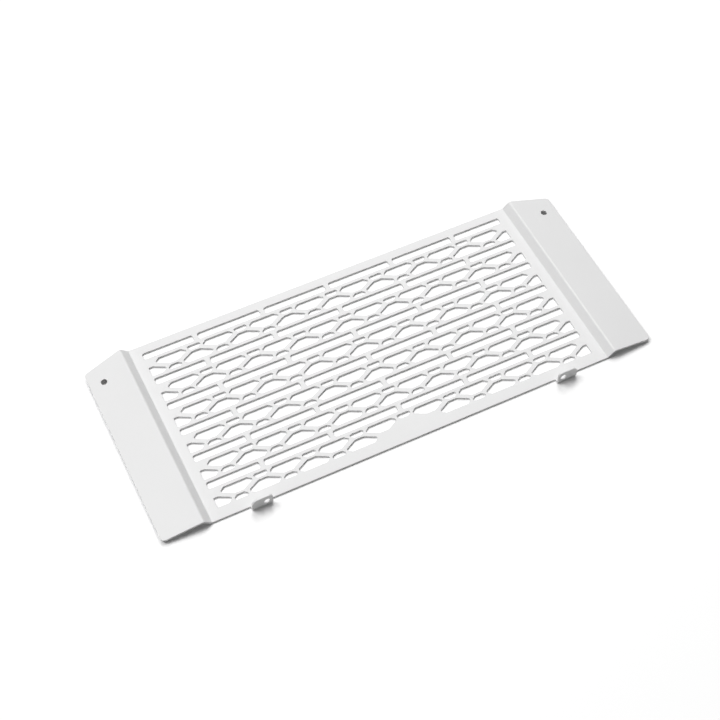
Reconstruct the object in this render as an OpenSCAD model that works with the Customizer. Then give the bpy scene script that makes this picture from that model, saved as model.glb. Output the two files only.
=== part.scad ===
// Motorcycle radiator guard: one laser-cut sheet, folded at its two ends and at two front tabs.
// It lies on its panel's underside. X runs along the panel, Y up the panel, and Z out of its face.
// The origin is under the middle of the whole part, on the surface that it lies on.

/* [Sheet] */
// Thickness of the sheet
sheet_t = 1.5; // [1:0.1:3]
// Inside radius of every bend
bend_r = 1; // [0.5:0.1:1.5]

/* [Panel] */
// Width of the panel between its two end folds
panel_w = 300; // [240:1:400]
// Height of the panel from its top edge to its bottom edge
panel_h = 152; // [125:0.5:220]

/* [End steps and wings] */
// Rise of each end step above the panel
step_rise = 5.1; // [3.5:0.1:12]
// Run of each end step, measured along the panel
step_run = 5.3; // [3:0.1:12]
// Width of each wing, measured along the panel
wing_w = 29.9; // [20:0.1:60]
// Fall of each wing from its fold to its outer edge
wing_drop = 3.4; // [0.5:0.1:4]
// Fall of each wing's slanted top edge
wing_slant = 7.2; // [1:0.1:20]
// Radius of the wings' outer corners
wing_r = 3.5; // [1:0.1:8]
// Diameter of the screw hole in each wing
wing_hole_d = 4.5; // [3:0.1:8]
// Distance from a wing's outer edge to its hole, along the wing
wing_hole_edge = 10.6; // [6:0.1:14]
// Distance from the panel's top edge down to the wing holes
wing_hole_top = 19.4; // [13:0.1:40]

/* [Front tabs] */
// Distance from each end fold to its tab hole
tab_inset = 38.1; // [30:0.1:70]
// Width of each tab
tab_w = 14.8; // [12:0.1:24]
// Height of each tab above the panel's face
tab_rise = 10; // [8:0.1:16]
// Diameter of the screw hole in each tab
tab_hole_d = 4.5; // [3:0.1:5]
// Distance from a tab's inner end to its hole
tab_hole_end = 4.1; // [4:0.1:6]
// Height of the tab holes above the panel's face
tab_hole_rise = 4.3; // [3.8:0.1:4.8]
// Radius of each tab's inner top corner
tab_inner_r = 3; // [0.5:0.1:4]
// Radius of each tab's outer top corner
tab_outer_r = 5; // [1:0.1:7]
// Radius of the fillets at each tab's root
root_r = 0.8; // [0.5:0.1:2]

/* [Openings] */
// Solid border above the top row of slots
top_border = 6.8; // [4:0.1:12]
// Least solid border below the bottom row
low_border = 6; // [4:0.1:12]
// Least solid border between the openings and each end fold
side_border = 7.5; // [4:0.1:15]
// Metal left between a row of slots and the rows beside it
row_web = 2.5; // [1.5:0.1:4]
// Height of the slots
slot_h = 5.3; // [3.5:0.1:8]
// Distance from one slot to the next
slot_pitch = 51.35; // [30:0.05:70]
// Metal left between two slots
slot_web = 3.5; // [2:0.1:6]
// Corner radius of the slots
slot_r = 1.5; // [0.5:0.1:1.7]
// Distance from one six-sided opening to the next like it
cell_pitch = 35.6; // [34.5:0.1:42]
// Height of the big openings
big_h = 7.55; // [6.5:0.05:9]
// Width of the big openings across their widest corners
big_w = 24.4; // [22:0.1:25]
// Width of a big opening's long flat edge
big_long = 16.7; // [14:0.1:18]
// Width of a big opening's short flat edge
big_short = 6.5; // [4:0.1:8]
// Depth of the widest corners below the long flat edge
big_corner = 2.9; // [2:0.1:3.5]
// Height of the small openings
small_h = 3.5; // [2.8:0.1:3.8]
// Width of the small openings across their widest corners
small_w = 12.2; // [10:0.1:13]
// Width of a small opening's long flat edge
small_long = 7.2; // [5:0.1:9]
// Width of a small opening's short flat edge
small_short = 5; // [3.5:0.1:6]
// Depth of its widest corners below its long flat edge
small_corner = 1; // [0.6:0.1:1.5]
// Metal left between a big opening and the small one at its short edge
gap_web = 1.8; // [1:0.1:4]
// Corner radius of the six-sided openings
cell_r = 1.1; // [0.3:0.1:1.3]

/* [Hidden] */
$fn = 64;
sheet_color = [0.84, 0.85, 0.86];
// Turns of the two folds of an end step
slope_a = atan2(wing_drop, wing_w);
rise_a = atan2(step_rise, step_run);
// Lengths that each bend takes from the flats beside it, on the face
rise_take = bend_r * tan(rise_a / 2);
fall_take = (bend_r + sheet_t) * tan((rise_a + slope_a) / 2);
// Where the face's flats would meet at the foot and the head of a step, and its outer edge, in X and Z
foot = [panel_w / 2, sheet_t];
head = foot + [step_run, step_rise];
rim = head + [wing_w, -wing_drop];
// Middles of the two bends
foot_mid = foot + [-rise_take, bend_r];
head_mid = head - fall_take * [cos(rise_a), sin(rise_a)] + (bend_r + sheet_t) * [sin(rise_a), -cos(rise_a)];
bend_steps = 6;
// How far the tabs stand out of the panel's front edge, and where each one's middle lies
tab_reach = root_r + bend_r + sheet_t;
tab_l = tab_rise - bend_r;
tab_mid = panel_w / 2 - tab_inset + tab_w / 2 - tab_hole_end;
// How far the root of a tab laps into the panel's border, to be one with it
root_lap = low_border / 2;
// Layout of the field of openings
zone_h = big_h + gap_web + small_h;
row_pitch = slot_h + 2 * row_web + zone_h;
rows = floor((panel_h - top_border - low_border + row_web) / row_pitch);
cells = 2 * floor((panel_w - 2 * side_border) / cell_pitch / 2);
field_w = cells * cell_pitch;
webs = floor((field_w / 2 - slot_web - 2 * slot_r) / slot_pitch);
// Places of the big openings that point down, and of those that point up
down_x = [for (i = [0:cells - 1]) (i + 0.5 - cells / 2) * cell_pitch];
up_x = [for (i = [1:cells - 1]) (i - cells / 2) * cell_pitch];
// How far the drills run past each side of the sheet
cut = sheet_t / 2;

// Points of a corner rounded by radius r, from the side of point a to the side of point b
function corner(a, p, b, r, steps) =
    let (u = (a - p) / norm(a - p), v = (b - p) / norm(b - p))
    let (half = acos(u * v) / 2, mid = p + (u + v) / norm(u + v) * r / sin(half))
    let (start = p + u * r / tan(half) - mid, end = p + v * r / tan(half) - mid)
    let (turn = 180 - 2 * half)
    [for (i = [0:steps]) mid + (start * sin(turn * (1 - i / steps)) + end * sin(turn * i / steps)) / sin(turn)];

// An outline whose corners are each rounded by their own radius
function rounded(pts, radii, steps) =
    let (n = len(pts))
    [for (i = [0:n - 1]) each corner(pts[(i + n - 1) % n], pts[i], pts[(i + 1) % n], radii[i], steps)];

// Points of a bend seen from the front edge, in X and Z
function arc(mid, r, from, to) =
    [for (i = [0:bend_steps]) let (a = from + (to - from) * i / bend_steps) mid + r * [cos(a), sin(a)]];

// One side of the folded sheet from the foot of a step outwards
function sheet_line(foot_r, head_r, end) =
    concat(arc(foot_mid, foot_r, -90, rise_a - 90), arc(head_mid, head_r, 90 + rise_a, 90 - slope_a), [end]);

function backwards(pts) = [for (i = [len(pts) - 1:-1:0]) pts[i]];
function mirrored(pts) = [for (p = pts) [-p[0], p[1]]];

// The sheet with its end folds made, run past all its edges
module folded() {
    past = rim + 2 * cut * [cos(slope_a), -sin(slope_a)];
    face = sheet_line(bend_r, bend_r + sheet_t, past);
    under = sheet_line(bend_r + sheet_t, bend_r, past - sheet_t * [sin(slope_a), cos(slope_a)]);
    right = concat(under, backwards(face));
    rotate([90, 0, 0]) linear_extrude(panel_h + 2 * cut, center = true)
        polygon(concat(right, backwards(mirrored(right))));
}

// The outline of the sheet seen from above, without its tabs
module outline() {
    top = panel_h / 2;
    heel = [rim[0], -top];
    shoulder = [rim[0], top - wing_slant];
    low = corner([0, -top], heel, shoulder, wing_r, 6);
    high = corner(heel, shoulder, [head[0], top], wing_r, 6);
    right = concat(low, high, [[head[0], top]]);
    polygon(concat(right, backwards(mirrored(right))));
}

// A six-sided opening of half widths a, b and c at depths 0, h1 and h below its long edge.
// It narrows downwards, or upwards where dir is -1.
function cell(x, y, dir, a, b, c, h1, h) =
    let (side = [[a, 0], [b, h1], [c, h]])
    let (pts = concat(side, backwards(mirrored(side))))
    rounded([for (p = pts) [x + p[0], y - dir * p[1]]], [for (p = pts) cell_r], 1);

function big(x, y, dir) =
    cell(x, y, dir, big_long / 2, big_w / 2, big_short / 2, big_corner, big_h);

function small(x, y, dir) =
    cell(x, y, dir, small_long / 2, small_w / 2, small_short / 2, small_corner, small_h);

// The half of an upward big opening that is left at one end of the field
function half_big(x, y, side) =
    let (long = big_w / 2, short = big_short / 2)
    rounded([[x, y], [x - side * big_long / 2, y], [x - side * long, y + big_corner],
        [x - side * short, y + big_h], [x, y + big_h]], [cell_r / 2, cell_r, cell_r, cell_r, cell_r / 2], 1);

// One row of slots, with its top edge at Y = top
module slot_row(top) {
    for (i = [-webs - 1:webs]) {
        left = max(-field_w / 2, i * slot_pitch + slot_web / 2);
        right = min(field_w / 2, (i + 1) * slot_pitch - slot_web / 2);
        pts = [[left, top], [right, top], [right, top - slot_h], [left, top - slot_h]];
        polygon(rounded(pts, [for (p = pts) slot_r], 2));
    }
}

// One row of six-sided openings, with its top edge at Y = top.
// The lowest row keeps a solid hump in its middle.
module cell_row(top, hump) {
    low = top - zone_h;
    for (x = down_x) {
        polygon(big(x, top, 1));
        if (!hump || abs(x) > cell_pitch) polygon(small(x, low, -1));
    }
    for (x = up_x) {
        polygon(small(x, top, 1));
        if (!hump || x != 0) polygon(big(x, low, -1));
    }
    for (side = [-1, 1]) polygon(half_big(side * field_w / 2, low, side));
}

module openings() {
    for (row = [0:rows - 1]) {
        top = panel_h / 2 - top_border - row * row_pitch;
        slot_row(top);
        cell_row(top - slot_h - row_web, row == rows - 1);
    }
}

// The screw hole of the right wing, drilled square to the wing
module wing_hole() {
    place = rim + wing_hole_edge * [-cos(slope_a), sin(slope_a)];
    translate([place[0], panel_h / 2 - wing_hole_top, place[1]])
        rotate([0, slope_a, 0]) cylinder(d = wing_hole_d, h = 4 * sheet_t, center = true);
}

// A tab, from the panel's front edge at X = 0, with its inner end towards -Y
module tab() {
    half = tab_w / 2;
    // Its root, flared into the panel's edge by a fillet at each side
    linear_extrude(sheet_t) difference() {
        translate([-root_lap, -half - root_r]) square([root_lap + root_r, tab_w + 2 * root_r]);
        for (s = [-1, 1]) translate([root_r, s * (half + root_r)]) circle(root_r);
    }
    // Its bend
    translate([root_r, 0, sheet_t + bend_r]) rotate([90, 0, 0]) rotate([0, 0, -90])
        rotate_extrude(angle = 90) translate([bend_r, -half]) square([sheet_t, tab_w]);
    // Its upright plate
    translate([root_r + bend_r + sheet_t, 0, sheet_t + bend_r]) rotate([0, -90, 0]) difference() {
        inner = corner([0, -half], [tab_l, -half], [tab_l, half], tab_inner_r, 6);
        outer = corner([tab_l, -half], [tab_l, half], [0, half], tab_outer_r, 8);
        linear_extrude(sheet_t) polygon(concat([[0, -half]], inner, outer, [[0, half]]));
        translate([tab_hole_rise - bend_r, tab_hole_end - half, -cut])
            cylinder(d = tab_hole_d, h = sheet_t + 2 * cut);
    }
}

module guard_sheet() {
    tall = 2 * (head[1] + sheet_t);
    color(sheet_color) translate([0, tab_reach / 2, 0]) {
        difference() {
            intersection() {
                folded();
                linear_extrude(tall, center = true) difference() {
                    outline();
                    openings();
                }
            }
            for (side = [0, 1]) mirror([side, 0, 0]) wing_hole();
        }
        for (side = [0, 1]) mirror([side, 0, 0])
            translate([tab_mid, -panel_h / 2, 0]) rotate([0, 0, -90]) tab();
    }
}

guard_sheet();
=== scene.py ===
"""Motorcycle radiator guard: one folded, laser-cut sheet on a pale floor.

Lengths are in millimetres until the sheet is folded, and in metres from there on.
"""
import math

import bmesh
import bpy
from mathutils import Matrix, Vector


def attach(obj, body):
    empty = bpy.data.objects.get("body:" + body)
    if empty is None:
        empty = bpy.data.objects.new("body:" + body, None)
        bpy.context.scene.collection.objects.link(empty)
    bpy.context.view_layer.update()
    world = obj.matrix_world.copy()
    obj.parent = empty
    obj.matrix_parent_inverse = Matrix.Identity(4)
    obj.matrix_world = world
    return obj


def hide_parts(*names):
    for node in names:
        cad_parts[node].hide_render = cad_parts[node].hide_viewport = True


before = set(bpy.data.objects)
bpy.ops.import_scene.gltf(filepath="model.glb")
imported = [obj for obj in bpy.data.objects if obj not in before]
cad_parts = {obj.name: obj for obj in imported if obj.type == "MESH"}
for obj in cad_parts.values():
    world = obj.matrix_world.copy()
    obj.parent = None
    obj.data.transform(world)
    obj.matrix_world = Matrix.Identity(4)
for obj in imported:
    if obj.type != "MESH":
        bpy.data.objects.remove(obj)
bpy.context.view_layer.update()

MM = 0.001
NODE = "guard_sheet"

# The sheet, with its edges slightly rounded
SHEET_T = 1.5
BEND_R = 1.0
EDGE_R = 0.18

# The panel, its end steps and wings
PANEL_W = 300.0
PANEL_H = 152.0
STEP_RISE = 5.1
STEP_RUN = 5.3
WING_W = 29.9
WING_DROP = 3.4
WING_SLANT = 7.2
WING_R = 3.5
WING_HOLE_D = 4.5
WING_HOLE_EDGE = 10.6
WING_HOLE_TOP = 19.4

# The two front tabs
TAB_INSET = 38.1
TAB_W = 14.8
TAB_RISE = 10.0
TAB_HOLE_D = 4.5
TAB_HOLE_END = 4.1
TAB_HOLE_RISE = 4.3
TAB_INNER_R = 3.0
TAB_OUTER_R = 5.0
ROOT_R = 0.8

# The field of openings
TOP_BORDER = 6.8
ROW_WEB = 2.5
ROWS = 6
SLOT_H = 5.3
SLOT_PITCH = 51.35
SLOT_WEB = 3.5
SLOT_R = 1.5
SLOT_WEBS = 2
CELLS = 8
CELL_PITCH = 35.6
BIG_H = 7.55
BIG_W = 24.4
BIG_LONG = 16.7
BIG_SHORT = 6.5
BIG_CORNER = 2.9
SMALL_H = 3.5
SMALL_W = 12.2
SMALL_LONG = 7.2
SMALL_SHORT = 5.0
SMALL_CORNER = 1.0
GAP_WEB = 1.8
CELL_R = 1.1

# How many steps each rounding has
EDGE_STEPS = 1
BEND_STEPS = 8
WING_STEPS = 10
TAB_INNER_STEPS = 8
TAB_OUTER_STEPS = 12
ROOT_STEPS = 4
SLOT_STEPS = 6
CELL_STEPS = 4
HOLE_STEPS = 48

# Distances on the blank under which points count as one, and the least length of an edge
CUT_REACH = 1e-5
WELD_REACH = 1e-4
SHORTEST_EDGE = 2e-3

# The most that a cut wall's normal may rise, and the angle at which the shading breaks
WALL_RISE = 0.3
SHARP_ANGLE = math.radians(50)

# Colours of the sheet's faces and cut walls
FACE_COLOR = (0.80, 0.80, 0.80)
WALL_COLOR = (0.85, 0.85, 0.85)

# The floor, in metres: half its width, its depth below the guard, and where it turns plain white
FLOOR_HALF = 3.0
FLOOR_DROP = 0.0001
FADE_FROM = 0.28
FADE_TO = 0.7

# How pale the floor and its surround are as a source of light, and where they are seen
FLOOR_UNSEEN = 0.75
FLOOR_SEEN = 1.19
SURROUND_UNSEEN = 0.12
WHITE = 1.0

# Sizes that follow from these
RISE_A = math.atan2(STEP_RISE, STEP_RUN)
FALL_A = RISE_A + math.atan2(WING_DROP, WING_W)
RISE_TAKE = BEND_R * math.tan(RISE_A / 2)
FALL_TAKE = (BEND_R + SHEET_T) * math.tan(FALL_A / 2)
STRIP_L = math.hypot(STEP_RISE, STEP_RUN) - RISE_TAKE - FALL_TAKE
WING_L = math.hypot(WING_W, WING_DROP) - FALL_TAKE
FLAT_HALF = PANEL_W / 2 - RISE_TAKE
TAB_L = TAB_RISE - BEND_R
TAB_REACH = ROOT_R + BEND_R + SHEET_T
FIELD_W = CELLS * CELL_PITCH
ZONE_H = BIG_H + GAP_WEB + SMALL_H
ROW_PITCH = SLOT_H + 2 * ROW_WEB + ZONE_H


def arc_length(turn):
    """Length of a bend along the middle of the sheet."""
    return abs(turn) * (BEND_R + SHEET_T / 2)


# What follows the panel at each end and at each tab, as (length, turn) along the flat blank
END_PATH = [(arc_length(RISE_A), RISE_A), (STRIP_L, 0.0),
            (arc_length(FALL_A), -FALL_A), (WING_L, 0.0)]
TAB_PATH = [(ROOT_R, 0.0), (arc_length(math.pi / 2), math.pi / 2), (TAB_L, 0.0)]
END_REACH = FLAT_HALF + sum(length for length, turn in END_PATH)
TAB_ROOT = -PANEL_H / 2
TAB_TIP = TAB_ROOT - sum(length for length, turn in TAB_PATH)


def corner(a, p, b, radius, steps):
    """Points of the corner at p, rounded by radius, from a's side to b's side."""
    a, p, b = Vector(a), Vector(p), Vector(b)
    u, v = (a - p).normalized(), (b - p).normalized()
    half = u.angle(v) / 2
    turn = math.pi - 2 * half
    middle = p + (u + v).normalized() * radius / math.sin(half)
    start = p + u * radius / math.tan(half) - middle
    end = p + v * radius / math.tan(half) - middle
    points = []
    for i in range(steps + 1):
        t = i / steps
        arm = start * math.sin(turn * (1 - t)) + end * math.sin(turn * t)
        points.append(middle + arm / math.sin(turn))
    return points


def rounded(points, radii, steps):
    """An outline whose corners are rounded, each by its own radius."""
    outline = []
    for i, point in enumerate(points):
        outline += corner(points[i - 1], point, points[(i + 1) % len(points)], radii[i], steps)
    return outline


def circle(x, y, diameter):
    """Points of a drilled hole."""
    turns = (2 * math.pi * i / HOLE_STEPS for i in range(HOLE_STEPS))
    return [Vector((x + diameter / 2 * math.cos(t), y + diameter / 2 * math.sin(t))) for t in turns]


def cell(x, y, way, half_widths, depths):
    """A six-sided opening that narrows downwards, or upwards where way is -1."""
    side = list(zip(half_widths, depths))
    points = [(w, d) for w, d in side] + [(-w, d) for w, d in reversed(side)]
    return rounded([(x + w, y - way * d) for w, d in points], [CELL_R] * len(points), CELL_STEPS)


def big(x, y, way):
    """A big opening with its long flat edge at y."""
    return cell(x, y, way, (BIG_LONG / 2, BIG_W / 2, BIG_SHORT / 2), (0, BIG_CORNER, BIG_H))


def small(x, y, way):
    """A small opening with its long flat edge at y."""
    half_widths = (SMALL_LONG / 2, SMALL_W / 2, SMALL_SHORT / 2)
    return cell(x, y, way, half_widths, (0, SMALL_CORNER, SMALL_H))


def half_big(x, y, side):
    """The half of an upward big opening that is left at one end of the field."""
    points = [(x, y), (x - side * BIG_LONG / 2, y), (x - side * BIG_W / 2, y + BIG_CORNER),
              (x - side * BIG_SHORT / 2, y + BIG_H), (x, y + BIG_H)]
    return rounded(points, [CELL_R / 2, CELL_R, CELL_R, CELL_R, CELL_R / 2], CELL_STEPS)


def slot_row(top):
    """One row of slots, with its top edge at top."""
    outlines = []
    for i in range(-SLOT_WEBS - 1, SLOT_WEBS + 1):
        left = max(-FIELD_W / 2, i * SLOT_PITCH + SLOT_WEB / 2)
        right = min(FIELD_W / 2, (i + 1) * SLOT_PITCH - SLOT_WEB / 2)
        points = [(left, top), (right, top), (right, top - SLOT_H), (left, top - SLOT_H)]
        outlines.append(rounded(points, [SLOT_R] * 4, SLOT_STEPS))
    return outlines


def cell_row(top, hump):
    """One row of six-sided openings. The lowest row keeps a solid hump in its middle."""
    low = top - ZONE_H
    outlines = [half_big(side * FIELD_W / 2, low, side) for side in (-1, 1)]
    for i in range(CELLS):
        x = (i + 0.5 - CELLS / 2) * CELL_PITCH
        outlines.append(big(x, top, 1))
        if not hump or abs(x) > CELL_PITCH:
            outlines.append(small(x, low, -1))
    for i in range(1, CELLS):
        x = (i - CELLS / 2) * CELL_PITCH
        outlines.append(small(x, top, 1))
        if not hump or x != 0:
            outlines.append(big(x, low, -1))
    return outlines


def openings():
    """Every opening and hole, as outlines on the flat blank."""
    outlines = []
    for row in range(ROWS):
        top = PANEL_H / 2 - TOP_BORDER - row * ROW_PITCH
        outlines += slot_row(top)
        outlines += cell_row(top - SLOT_H - ROW_WEB, row == ROWS - 1)
    wing_x, wing_y = END_REACH - WING_HOLE_EDGE, PANEL_H / 2 - WING_HOLE_TOP
    tab_x, tab_y = PANEL_W / 2 - TAB_INSET, TAB_TIP + TAB_L - (TAB_HOLE_RISE - BEND_R)
    for side in (-1, 1):
        outlines.append(circle(side * wing_x, wing_y, WING_HOLE_D))
        outlines.append(circle(side * tab_x, tab_y, TAB_HOLE_D))
    return outlines


def root_fillet(x, side):
    """Points of the fillet beside a tab, from the panel's edge to the tab's own edge at x."""
    points = []
    for i in range(ROOT_STEPS + 1):
        turn = math.pi / 2 * i / ROOT_STEPS
        across, down = 1 - math.sin(turn), 1 - math.cos(turn)
        points.append(Vector((x + side * ROOT_R * across, TAB_ROOT - ROOT_R * down)))
    return points


def right_tab():
    """The right tab's outline on the flat blank, from its inner root to its outer root."""
    inner = PANEL_W / 2 - TAB_INSET - TAB_HOLE_END
    outer = inner + TAB_W
    inner_tip, outer_tip = (inner, TAB_TIP), (outer, TAB_TIP)
    points = root_fillet(inner, -1)
    points += corner((inner, TAB_ROOT), inner_tip, outer_tip, TAB_INNER_R, TAB_INNER_STEPS)
    points += corner(inner_tip, outer_tip, (outer, TAB_ROOT), TAB_OUTER_R, TAB_OUTER_STEPS)
    return points + root_fillet(outer, 1)[::-1]


def border():
    """The flat blank's outer outline."""
    top, fold_x = PANEL_H / 2, END_REACH - WING_L
    shoulder, heel = (END_REACH, top - WING_SLANT), (END_REACH, -top)
    right = right_tab()
    right += corner((fold_x, -top), heel, shoulder, WING_R, WING_STEPS)
    right += corner(heel, shoulder, (fold_x, top), WING_R, WING_STEPS)
    right.append(Vector((fold_x, top)))
    return right + [Vector((-p.x, p.y)) for p in reversed(right)]


def flat_blank(outlines):
    """The blank as a mesh of the sheet's thickness, with its edges slightly rounded."""
    curve = bpy.data.curves.new("blank", "CURVE")
    curve.dimensions = "2D"
    curve.fill_mode = "BOTH"
    curve.extrude = SHEET_T / 2 - EDGE_R
    curve.bevel_depth = EDGE_R
    curve.bevel_resolution = EDGE_STEPS
    curve.offset = -EDGE_R
    for outline in outlines:
        spline = curve.splines.new("POLY")
        spline.points.add(len(outline) - 1)
        for point, p in zip(spline.points, outline):
            point.co = (p.x, p.y, 0.0, 1.0)
        spline.use_cyclic_u = True
    carrier = bpy.data.objects.new("blank", curve)
    bpy.context.scene.collection.objects.link(carrier)
    bpy.context.view_layer.update()
    evaluated = carrier.evaluated_get(bpy.context.evaluated_depsgraph_get())
    mesh = bpy.data.meshes.new_from_object(evaluated)
    bpy.data.objects.remove(carrier)
    bpy.data.curves.remove(curve)
    mesh.transform(Matrix.Translation((0, 0, SHEET_T / 2)))
    return mesh


def cut_across(bm, place, normal):
    """Adds edges where a plane crosses the blank, so that it can bend there."""
    geometry = bm.verts[:] + bm.edges[:] + bm.faces[:]
    bmesh.ops.bisect_plane(bm, geom=geometry, dist=CUT_REACH, plane_co=place, plane_no=normal)


def bend_lines(start, path):
    """Distances along a path at which the blank needs edges."""
    lines = []
    for length, turn in path:
        steps = BEND_STEPS if turn else 1
        lines += [start + length * i / steps for i in range(steps)]
        start += length
    return lines


def folded(distance, height, path):
    """Where a point of the blank lies once the path's bends are made: (along, up)."""
    x, z, heading = 0.0, 0.0, 0.0
    for length, turn in path:
        part = min(distance, length)
        if turn:
            pivot = SHEET_T + BEND_R if turn > 0 else -BEND_R
            x -= math.sin(heading) * pivot
            z += math.cos(heading) * pivot
            heading += turn * part / length
            x += math.sin(heading) * pivot
            z -= math.cos(heading) * pivot
        else:
            x += math.cos(heading) * part
            z += math.sin(heading) * part
        distance -= part
        if distance <= 0:
            break
    return x - math.sin(heading) * height, z + math.cos(heading) * height


def fold(p):
    """A point of the blank in its place on the folded sheet."""
    x, y, z = p
    if y < TAB_ROOT:
        out, z = folded(TAB_ROOT - y, z, TAB_PATH)
        y = TAB_ROOT - out
    elif abs(x) > FLAT_HALF:
        out, z = folded(abs(x) - FLAT_HALF, z, END_PATH)
        x = math.copysign(FLAT_HALF + out, x)
    return Vector((x, y + TAB_REACH / 2, z)) * MM


def guard_sheet():
    """The whole guard: the blank is cut, given edges at its bends, and folded.

    Each face says whether it is a cut wall, and each point keeps its place on the flat blank,
    so that the material can tell them.
    """
    mesh = flat_blank([border()] + openings())
    bm = bmesh.new()
    bm.from_mesh(mesh)
    bmesh.ops.remove_doubles(bm, verts=bm.verts, dist=WELD_REACH)
    for line in bend_lines(FLAT_HALF, END_PATH):
        for side in (-1, 1):
            cut_across(bm, (side * line, 0, 0), (1, 0, 0))
    for line in bend_lines(-TAB_ROOT, TAB_PATH):
        cut_across(bm, (0, -line, 0), (0, 1, 0))
    bmesh.ops.dissolve_degenerate(bm, dist=SHORTEST_EDGE, edges=bm.edges)
    bmesh.ops.recalc_face_normals(bm, faces=bm.faces)
    wall = bm.faces.layers.float.new("cut_edge")
    blank = bm.verts.layers.float_vector.new("blank")
    bm.normal_update()
    for face in bm.faces:
        face[wall] = 1.0 if abs(face.normal.z) < WALL_RISE else 0.0
        face.smooth = True
    for vert in bm.verts:
        vert[blank] = vert.co * MM
        vert.co = fold(vert.co)
    bm.to_mesh(mesh)
    bm.free()
    mesh.set_sharp_from_angle(angle=SHARP_ANGLE)
    sheet = bpy.data.objects.new("folded_sheet", mesh)
    bpy.context.scene.collection.objects.link(sheet)
    weighted = sheet.modifiers.new("flat faces stay flat", "WEIGHTED_NORMAL")
    weighted.keep_sharp = True
    weighted.weight = 100
    return sheet


class Nodes:
    """Adds shader nodes to a material or world, and links them."""

    def __init__(self, owner):
        owner.use_nodes = True
        self.tree = owner.node_tree
        self.tree.nodes.clear()

    def add(self, kind, inputs=None, **settings):
        """A new node. An input is either another node's output, which is linked, or a value."""
        node = self.tree.nodes.new(kind)
        for name, value in settings.items():
            setattr(node, name, value)
        for name, value in (inputs or {}).items():
            if isinstance(value, bpy.types.NodeSocket):
                self.tree.links.new(value, node.inputs[name])
            else:
                node.inputs[name].default_value = value
        return node

    def math(self, operation, a, b=0.0):
        """The result of operation on a and b."""
        return self.add("ShaderNodeMath", {0: a, 1: b}, operation=operation).outputs[0]

    def spread(self, value, low, high):
        """value, from 0 to 1, spread between low and high."""
        inputs = {"Value": value, "To Min": low, "To Max": high}
        return self.add("ShaderNodeMapRange", inputs).outputs[0]

    def scaled(self, vector, factor):
        """vector times factor."""
        inputs = {0: vector, "Scale": factor}
        return self.add("ShaderNodeVectorMath", inputs, operation="SCALE").outputs[0]

    def noise(self, place, scale, detail, roughness):
        """Noise from 0 to 1, with scale waves to the metre."""
        inputs = {"Vector": place, "Scale": scale, "Detail": detail, "Roughness": roughness}
        return self.add("ShaderNodeTexNoise", inputs).outputs["Fac"]

    def mix(self, kind, factor, a, b):
        """a where factor is 0, and b where it is 1."""
        first, output = {"FLOAT": (2, 0), "VECTOR": (4, 1)}[kind]
        inputs = {0: factor, first: a, first + 1: b}
        return self.add("ShaderNodeMix", inputs, data_type=kind).outputs[output]

    def seen(self):
        """1 for camera, glossy and transmission rays."""
        path = self.add("ShaderNodeLightPath").outputs
        shiny = self.math("MAXIMUM", path["Is Glossy Ray"], path["Is Transmission Ray"])
        return self.math("MAXIMUM", path["Is Camera Ray"], shiny)


def satin_sheet():
    """Pale satin metal: fine grain on the faces, and cut walls with fine upright lines."""
    material = bpy.data.materials.new("satin_sheet")
    n = Nodes(material)
    blank = n.add("ShaderNodeAttribute", attribute_name="blank").outputs["Vector"]
    wall = n.add("ShaderNodeAttribute", attribute_name="cut_edge").outputs["Fac"]
    upright = {"Vector": blank, "Scale": (1.0, 1.0, 0.04)}
    cloud = n.noise(blank, 18.0, 3.0, 0.5)
    grain = n.noise(blank, 2600.0, 4.0, 0.65)
    streak = n.noise(n.add("ShaderNodeMapping", upright).outputs[0], 4200.0, 2.0, 0.6)
    face_tone = n.math("MULTIPLY", n.spread(cloud, 0.975, 1.025), n.spread(grain, 0.985, 1.015))
    wall_tone = n.spread(streak, 0.85, 1.1)
    color = n.mix("VECTOR", wall, n.scaled(FACE_COLOR, face_tone), n.scaled(WALL_COLOR, wall_tone))
    relief = {"Height": n.mix("FLOAT", wall, grain, streak), "Strength": 0.25, "Distance": 0.00004}
    shader = n.add("ShaderNodeBsdfPrincipled", {
        "Base Color": color,
        "Roughness": n.spread(grain, 0.36, 0.44),
        "Normal": n.add("ShaderNodeBump", relief).outputs[0]}).outputs[0]
    n.add("ShaderNodeOutputMaterial", {"Surface": shader})
    return material


def floor():
    """A wide pale floor, which keeps the guard's shadow.

    It looks white where light reaches it, and farther out it is plain white.
    """
    half = FLOOR_HALF
    corners = [(-half, -half, 0), (half, -half, 0), (half, half, 0), (-half, half, 0)]
    mesh = bpy.data.meshes.new("floor")
    mesh.from_pydata(corners, [], [(0, 1, 2, 3)])
    material = bpy.data.materials.new("floor")
    n = Nodes(material)
    seen = n.seen()
    pale = {"Color": n.spread(seen, FLOOR_UNSEEN, FLOOR_SEEN)}
    diffuse = n.add("ShaderNodeBsdfDiffuse", pale).outputs[0]
    place = n.add("ShaderNodeNewGeometry").outputs["Position"]
    distance = n.add("ShaderNodeVectorMath", {0: place}, operation="LENGTH").outputs["Value"]
    fade = {"Value": distance, "From Min": FADE_FROM, "From Max": FADE_TO}
    far = n.add("ShaderNodeMapRange", fade).outputs[0]
    white = n.add("ShaderNodeEmission", {"Strength": WHITE}).outputs[0]
    layers = {0: n.math("MULTIPLY", seen, far), 1: diffuse, 2: white}
    surface = n.add("ShaderNodeMixShader", layers).outputs[0]
    n.add("ShaderNodeOutputMaterial", {"Surface": surface})
    mesh.materials.append(material)
    plane = bpy.data.objects.new("floor", mesh)
    bpy.context.scene.collection.objects.link(plane)
    plane.location.z = -FLOOR_DROP


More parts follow.
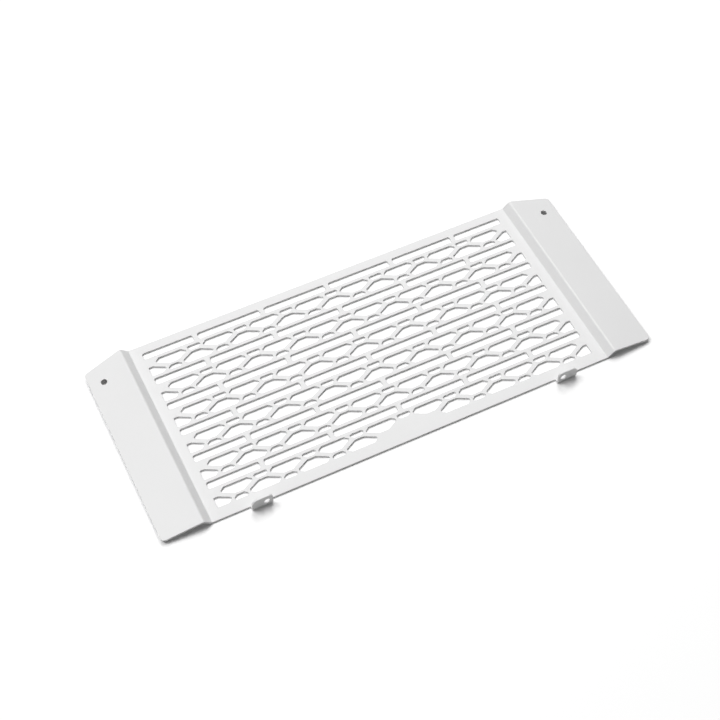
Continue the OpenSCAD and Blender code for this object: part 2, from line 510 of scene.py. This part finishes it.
def softbox(name, place, size, power):
    """A square lamp at place, turned towards the middle of the guard."""
    lamp = bpy.data.lights.new(name, "AREA")
    lamp.size = size
    lamp.energy = power
    carrier = bpy.data.objects.new(name, lamp)
    carrier.location = place
    carrier.rotation_mode = "QUATERNION"
    carrier.rotation_quaternion = (-Vector(place)).to_track_quat("-Z", "Y")
    bpy.context.scene.collection.objects.link(carrier)


def studio():
    """Two soft lamps, one at the left and one behind, and a white surround where it is seen."""
    softbox("left", place=(-1.5, 1.2, 3.4), size=2.2, power=86.0)
    softbox("back", place=(1.05, 2.15, 3.4), size=2.2, power=76.0)
    world = bpy.data.worlds.new("studio")
    bpy.context.scene.world = world
    n = Nodes(world)
    glow = {"Color": (1, 1, 1, 1), "Strength": n.spread(n.seen(), SURROUND_UNSEEN, WHITE)}
    light = n.add("ShaderNodeBackground", glow).outputs[0]
    n.add("ShaderNodeOutputWorld", {"Surface": light})


def camera():
    """The photograph's camera, a pinhole on a frame of 720 x 720 pixels.

    It was solved from the panel's corners, folds, wings and openings.
    """
    azimuth, elevation, roll = math.radians(-26.230), math.radians(55.102), math.radians(0.265)
    distance, focal_px, frame_px, sensor = 1.067432, 1526.73, 720, 36.0
    target = Vector((-0.006927, -0.000487, 0.0015))
    level = math.cos(elevation)
    back = Vector((math.sin(azimuth) * level, -math.cos(azimuth) * level, math.sin(elevation)))
    right = Vector((0, 0, 1)).cross(back).normalized()
    up = back.cross(right)
    turned_right = right * math.cos(roll) + up * math.sin(roll)
    turned_up = up * math.cos(roll) - right * math.sin(roll)
    data = bpy.data.cameras.new("camera")
    data.sensor_width = sensor
    data.lens = focal_px * sensor / frame_px
    data.clip_start, data.clip_end = 0.05, 20
    carrier = bpy.data.objects.new("camera", data)
    turn = Matrix((turned_right, turned_up, back)).transposed().to_4x4()
    carrier.matrix_world = Matrix.Translation(target + back * distance) @ turn
    bpy.context.scene.collection.objects.link(carrier)
    bpy.context.scene.camera = carrier


camera()
floor()
studio()

sheet = guard_sheet()
sheet.data.materials.clear()
sheet.data.materials.append(satin_sheet())
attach(sheet, "root")
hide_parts(NODE)

bpy.context.scene.view_settings.view_transform = "Standard"
